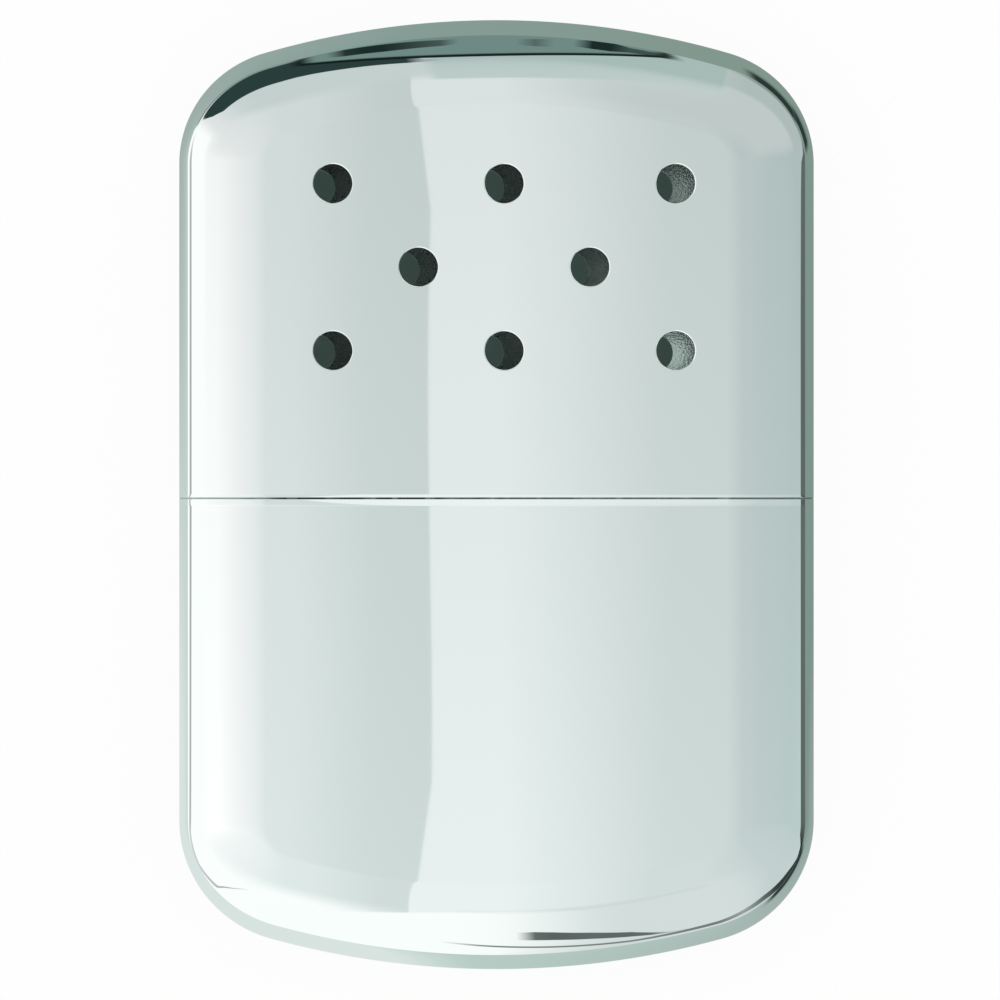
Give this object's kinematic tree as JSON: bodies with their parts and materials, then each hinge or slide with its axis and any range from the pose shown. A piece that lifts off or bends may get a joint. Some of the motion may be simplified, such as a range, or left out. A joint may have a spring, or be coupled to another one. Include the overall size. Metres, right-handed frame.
{
  "type": "catalytic hand warmer",
  "caption": "Flat pocket-size catalytic hand warmer: a vented drawn lid slides off a wadding-filled fuel tank, and a catalyst burner clips over the tank's oblong mouth.",
  "frame": {"origin": "centre of the closed case's width and length, on the back face's flat that it lies on", "axes": "+X across the case to the right as seen from the front, +Y along the case towards the lid, +Z out of the front face"},
  "size_m": [0.066, 0.099, 0.013],
  "materials": {
    "lid_chrome": "bright chrome plate, mirror polished",
    "tank_chrome": "bright chrome plate, mirror polished",
    "deck_chrome": "chrome plate, satin from drawing",
    "ferrule_nickel": "nickel plate on brass, satin",
    "grille_nickel": "nickel plate, satin",
    "wick_felt": "pressed wool felt",
    "wadding_cotton": "loose cotton wadding",
    "burner_nickel": "nickel-plated sheet, lightly heat-tinted",
    "gauze_wire": "plain-weave steel wire",
    "catalyst_wool": "glass fibre darkened by its platinum coating"
  },
  "bodies": {
    "tank": {"tank_shell": "tank_chrome", "tank_deck": "deck_chrome", "mouth_ferrule": "ferrule_nickel", "mouth_grille": "grille_nickel", "wick_pad": "wick_felt", "wadding_left": "wadding_cotton", "wadding_middle": "wadding_cotton", "wadding_right": "wadding_cotton"},
    "lid": {"lid_shell": "lid_chrome"},
    "burner": {"burner_skirt": "burner_nickel", "burner_cage": "burner_nickel", "burner_cap": "burner_nickel", "floor_gauze": "gauze_wire", "window_gauze_front": "gauze_wire", "window_gauze_back": "gauze_wire", "catalyst_mat": "catalyst_wool"}
  },
  "joints": [
    {"name": "lid_slide", "type": "slide", "parent": "tank", "child": "lid", "axis": [0, 1, 0], "range_m": [0, 0.045]},
    {"name": "burner_slide", "type": "slide", "parent": "tank", "child": "burner", "axis": [0, 1, 0], "range_m": [0, 0.012]}
  ]
}
